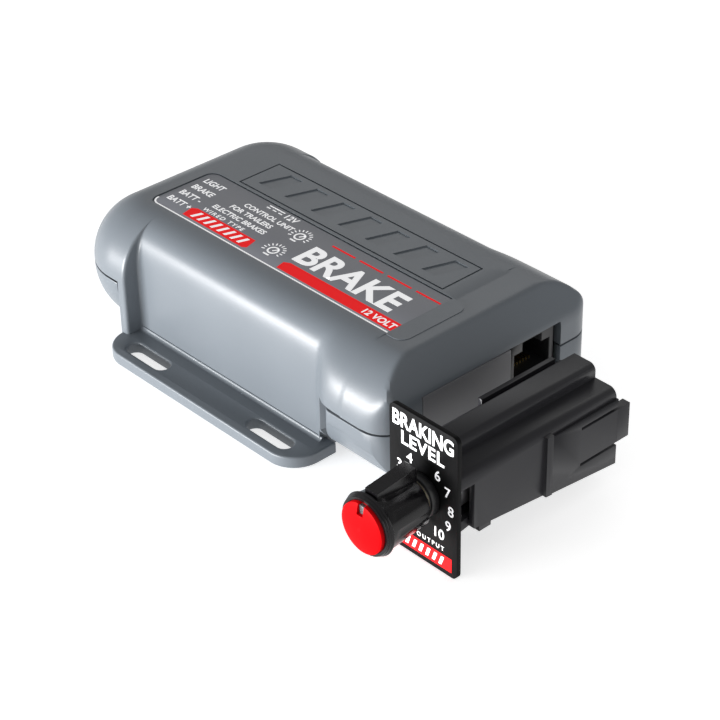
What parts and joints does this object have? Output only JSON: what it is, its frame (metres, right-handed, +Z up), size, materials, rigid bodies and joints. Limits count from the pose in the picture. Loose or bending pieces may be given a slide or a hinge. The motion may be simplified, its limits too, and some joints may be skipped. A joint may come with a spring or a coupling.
{
  "type": "trailer brake controller",
  "caption": "Trailer brake controller: a flanged under-dash main unit with data and power sockets, and a separate dash-insert remote head with a turn-and-push dial knob.",
  "frame": {"origin": "on the surface both pieces stand on, under the middle of the whole part's box", "axes": "+X along the main unit towards its data socket, +Z up; the remote head's knob faces -Y"},
  "size_m": [0.1494, 0.1038, 0.0377],
  "materials": {
    "casing_plastic": "satin moulded",
    "tray_plastic": "satin moulded",
    "panel_plastic": "satin moulded",
    "label_film": "printed film, satin",
    "board_green": "solder mask",
    "black_plastic": "satin moulded",
    "insert_plastic": "satin moulded",
    "dial_film": "printed, satin",
    "knob_plastic": "polished satin",
    "cap_red": "gloss",
    "clear_lens": "clear moulded",
    "gold_contact": "gold plated",
    "tinned_metal": "tinned",
    "steel": "zinc plated",
    "aluminium": "mill finish",
    "brass": "turned",
    "copper": "bare copper alloy",
    "chip_epoxy": "moulded epoxy",
    "capacitor_sleeve": "shrink sleeve",
    "ferrite_copper": "enamelled wire on ferrite",
    "rotor_plastic": "natural moulded",
    "cover_laminate": "phenolic laminate",
    "led_body": "diffused"
  },
  "bodies": {
    "main_unit": {"upper_casing": "casing_plastic", "lower_casing": "tray_plastic", "front_panel": "panel_plastic", "top_label": "label_film", "circuit_board": "board_green", "data_socket": "black_plastic", "data_contacts": "gold_contact", "power_socket": "black_plastic", "power_blades": "tinned_metal", "power_transistors": "chip_epoxy", "heat_spreader": "aluminium", "capacitors": "capacitor_sleeve", "inductor": "ferrite_copper", "current_shunt": "copper", "controller_chip": "chip_epoxy", "motion_sensor": "chip_epoxy", "casing_screws": "steel"},
    "remote_head": {"insert_housing": "insert_plastic", "dial_plate": "dial_film", "dress_nut": "black_plastic", "pot_bushing": "brass", "pot_body": "steel", "pot_cover": "cover_laminate", "pot_terminals": "tinned_metal", "return_spring": "steel", "head_board": "board_green", "head_socket": "black_plastic", "head_contacts": "gold_contact", "status_led": "led_body"},
    "wiper": {"wiper_rotor": "rotor_plastic"},
    "knob": {"knob_shaft": "aluminium", "light_pipe": "clear_lens", "knob_body": "knob_plastic", "knob_cap": "cap_red", "indicator_lens": "clear_lens"}
  },
  "joints": [
    {"name": "head_lift", "type": "slide", "parent": "main_unit", "child": "remote_head", "axis": [0, 0, 1], "range_m": [0, 0.06]},
    {"name": "knob_turn", "type": "hinge", "parent": "remote_head", "child": "wiper", "pos_m": [0.06427, -0.03288, 0.0185], "axis": [0, 1, 0], "range_deg": [-155, 155]},
    {"name": "knob_push", "type": "slide", "parent": "wiper", "child": "knob", "axis": [0, 1, 0], "range_m": [0, 0.0012], "stiffness_N_per_m": 1800, "springref_m": -0.0004}
  ]
}
